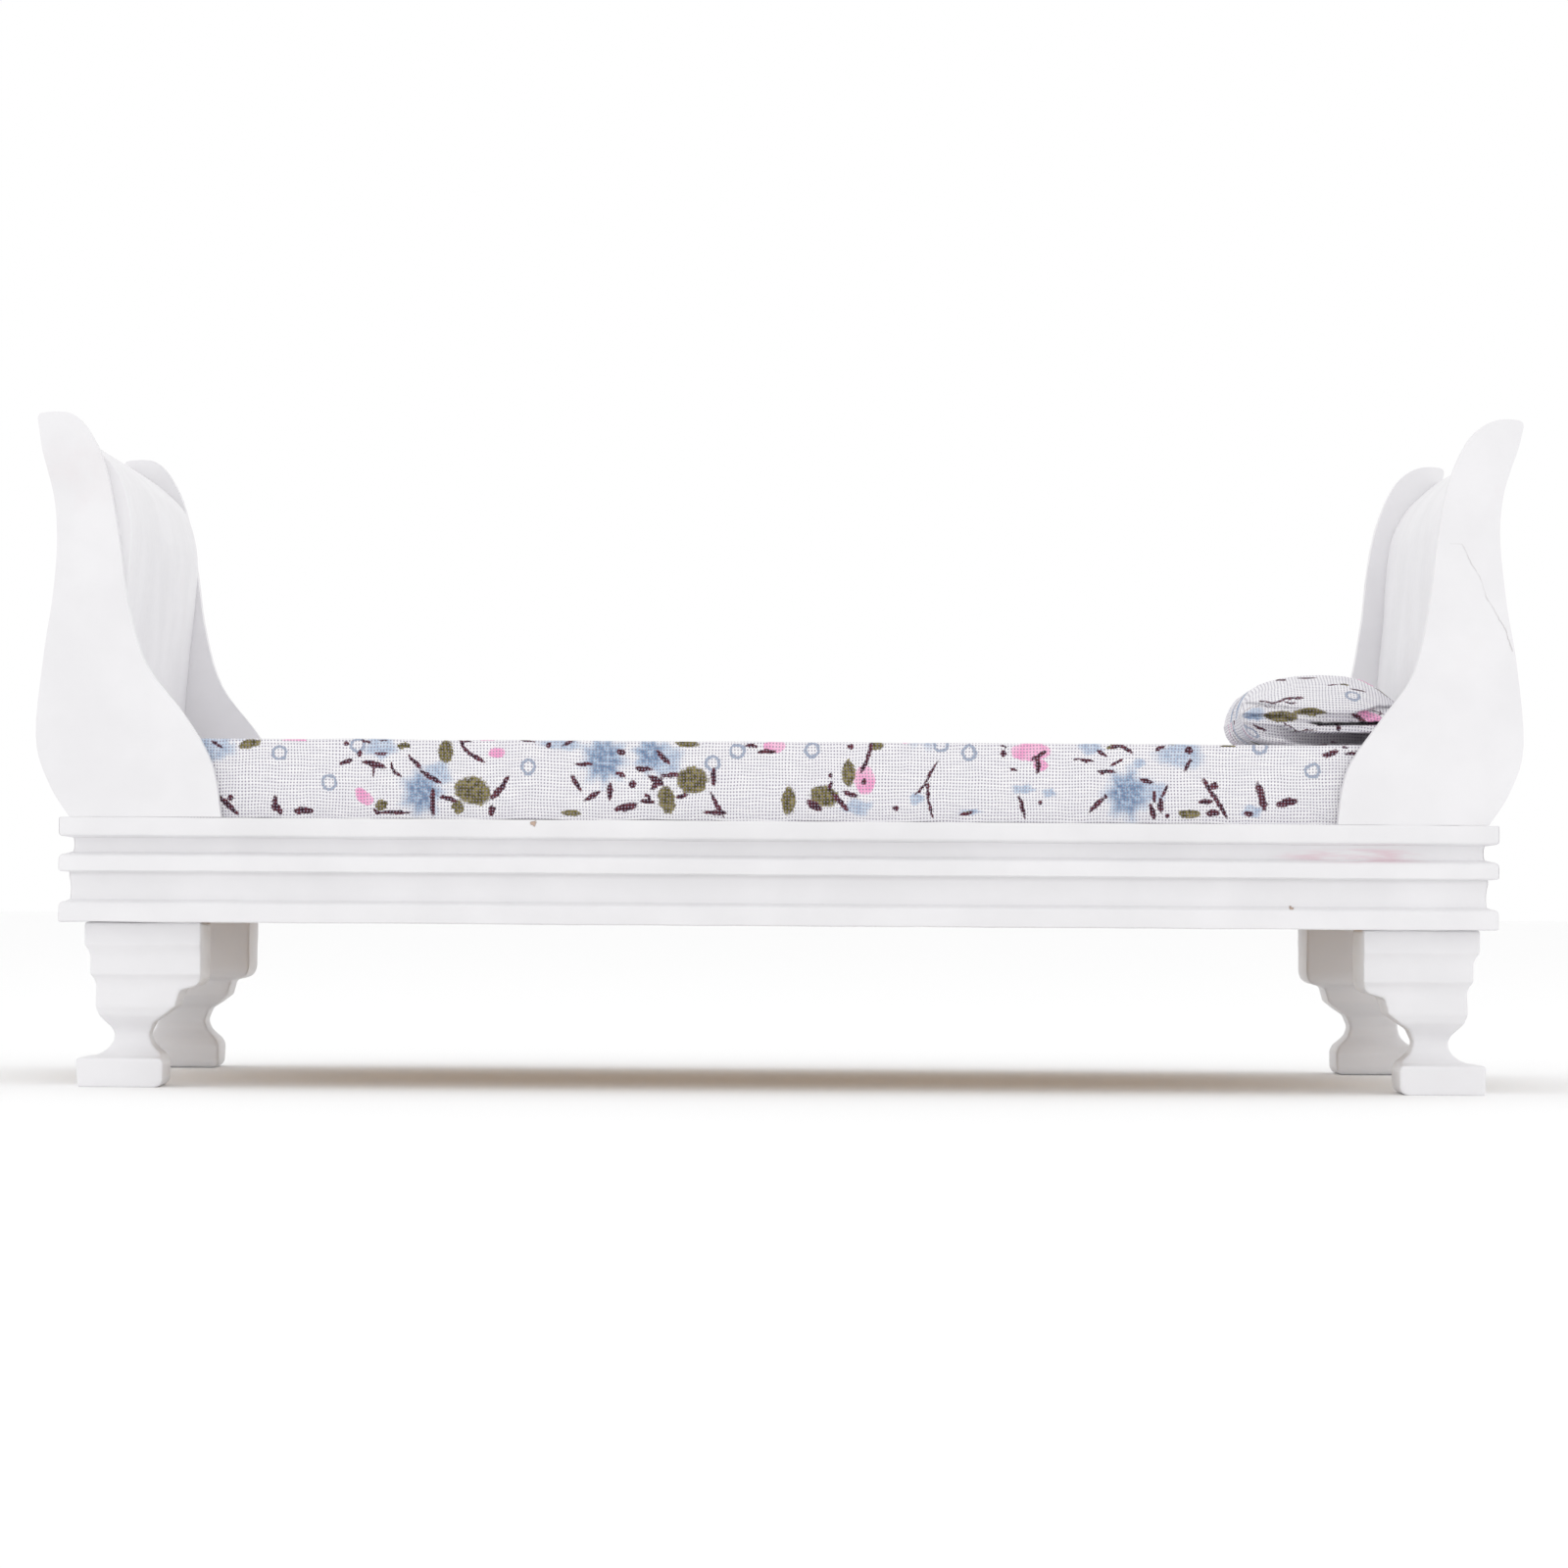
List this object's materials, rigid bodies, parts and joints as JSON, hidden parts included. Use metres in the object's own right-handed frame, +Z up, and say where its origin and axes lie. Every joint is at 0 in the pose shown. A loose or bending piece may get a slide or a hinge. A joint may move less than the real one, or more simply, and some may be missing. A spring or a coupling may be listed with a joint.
{
  "type": "dolls house single bed",
  "caption": "Miniature single bed with S-curved sleigh ends, a moulded frame on bracket feet, a fabric-wrapped mattress and a small pillow.",
  "frame": {"origin": "on the floor, under the middle of the bed", "axes": "+X along the bed towards the head and the pillow, +Y towards the back, +Z up"},
  "size_m": [0.1799, 0.088, 0.0819],
  "materials": {
    "white_paint": "satin white paint on wood",
    "bare_wood": "bare sanded softwood",
    "plywood": "bare thin plywood",
    "printed_cotton": "plain-weave cotton with a small flower print",
    "wadding": "soft open-cell foam",
    "grey_card": "grey board"
  },
  "bodies": {
    "bedstead": {"front_rail": "white_paint", "back_rail": "white_paint", "head_rail": "white_paint", "foot_rail": "white_paint", "foot_end_front_foot": "white_paint", "foot_end_back_foot": "white_paint", "head_end_front_foot": "white_paint", "head_end_back_foot": "white_paint", "foot_side_board_front": "white_paint", "foot_side_board_back": "white_paint", "head_side_board_front": "white_paint", "head_side_board_back": "white_paint", "footboard_panel": "white_paint", "headboard_panel": "white_paint", "bed_board": "plywood", "front_cleat": "bare_wood", "back_cleat": "bare_wood", "head_cleat": "bare_wood", "foot_cleat": "bare_wood", "foot_end_front_corner_block": "bare_wood", "foot_end_back_corner_block": "bare_wood", "head_end_front_corner_block": "bare_wood", "head_end_back_corner_block": "bare_wood", "foot_end_front_dowel": "bare_wood", "foot_end_back_dowel": "bare_wood", "head_end_front_dowel": "bare_wood", "head_end_back_dowel": "bare_wood"},
    "mattress": {"mattress_cover": "printed_cotton", "mattress_core": "wadding", "mattress_card": "grey_card"},
    "pillow": {"pillow": "printed_cotton"}
  },
  "joints": [
    {"name": "mattress_lift", "type": "slide", "parent": "bedstead", "child": "mattress", "axis": [0, 0, 1], "range_m": [0, 0.06]},
    {"name": "pillow_lift", "type": "slide", "parent": "mattress", "child": "pillow", "axis": [0, 0, 1], "range_m": [0, 0.05]}
  ]
}
